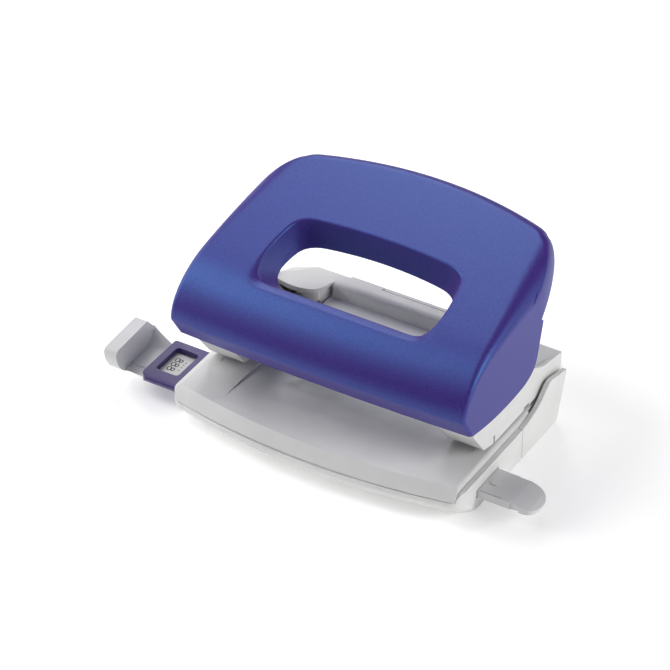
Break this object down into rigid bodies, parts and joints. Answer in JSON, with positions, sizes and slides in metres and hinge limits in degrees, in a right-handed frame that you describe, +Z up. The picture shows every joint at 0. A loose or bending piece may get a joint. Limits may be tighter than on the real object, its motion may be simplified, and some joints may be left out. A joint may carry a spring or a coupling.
{
  "type": "hole punch",
  "caption": "Desk hole punch with an arched press handle, open finger slot, sprung punch pins, a swing-down chip tray and a sliding paper guide with a format window.",
  "frame": {"origin": "centre of the whole object's plan box, on the surface it stands on", "axes": "+X to the right along the row of holes, -Y towards the user (paper goes in along +Y), +Z up"},
  "size_m": [0.1396, 0.0794, 0.0623],
  "materials": {
    "handle_paint": "satin metallic blue paint",
    "steel_plate": "zinc-plated sheet",
    "bright_steel": "bright turned steel and spring wire",
    "screw_steel": "zinc-plated",
    "base_paint": "light grey satin paint",
    "light_grey_plastic": "fine matte light grey",
    "guide_grey_plastic": "satin mid grey",
    "format_print": "white strip printed with paper formats",
    "indigo_plastic": "satin indigo",
    "foot_rubber": "matt"
  },
  "bodies": {
    "base": {"base_plate": "base_paint", "rear_housing": "light_grey_plastic", "axle_cover": "light_grey_plastic", "pivot_axle": "bright_steel", "side_cover_right": "light_grey_plastic", "side_cover_left": "light_grey_plastic", "punch_bracket_right": "steel_plate", "punch_bracket_left": "steel_plate", "die_ring_right": "bright_steel", "die_ring_left": "bright_steel", "bracket_screw_1_right": "screw_steel", "bracket_screw_1_left": "screw_steel", "bracket_screw_2_right": "screw_steel", "bracket_screw_2_left": "screw_steel", "housing_screw_right": "screw_steel", "housing_screw_left": "screw_steel", "rear_foot_right": "foot_rubber", "rear_foot_left": "foot_rubber", "return_spring_right": "bright_steel", "return_spring_left": "bright_steel"},
    "handle": {"press_handle": "handle_paint", "lever_plate_right": "steel_plate", "lever_plate_left": "steel_plate"},
    "punch_right": {"punch_pin_right": "bright_steel", "pin_clip_right": "bright_steel"},
    "punch_left": {"punch_pin_left": "bright_steel", "pin_clip_left": "bright_steel"},
    "tray": {"chip_tray": "light_grey_plastic", "window_sleeve": "indigo_plastic", "detent_spring": "bright_steel", "front_foot_right": "foot_rubber", "front_foot_left": "foot_rubber", "hinge_pin_right": "bright_steel", "hinge_pin_left": "bright_steel"},
    "guide": {"paper_guide": "guide_grey_plastic", "format_strip": "format_print"}
  },
  "joints": [
    {"name": "handle_hinge", "type": "hinge", "parent": "base", "child": "handle", "pos_m": [0.003, 0.0275, 0.0164], "axis": [1, 0, 0], "range_deg": [0, 10.5], "stiffness_Nm_per_rad": 0.6, "springref_deg": -6.88},
    {"name": "punch_slide_right", "type": "slide", "parent": "base", "child": "punch_right", "axis": [0, 0, -1], "range_m": [0, 0.006], "deforming": ["return_spring_right"]},
    {"name": "punch_slide_left", "type": "slide", "parent": "base", "child": "punch_left", "axis": [0, 0, -1], "range_m": [0, 0.006], "deforming": ["return_spring_left"]},
    {"name": "tray_hinge", "type": "hinge", "parent": "base", "child": "tray", "pos_m": [0.003, 0.0017, 0.0019], "axis": [1, 0, 0], "range_deg": [0, 60]},
    {"name": "guide_slide", "type": "slide", "parent": "tray", "child": "guide", "axis": [-1, 0, 0], "range_m": [0, 0.08]}
  ],
  "couplings": [
    {"joint": "punch_slide_right", "follows": "handle_hinge", "m_per_rad": 0.0325},
    {"joint": "punch_slide_left", "follows": "handle_hinge", "m_per_rad": 0.0325}
  ]
}
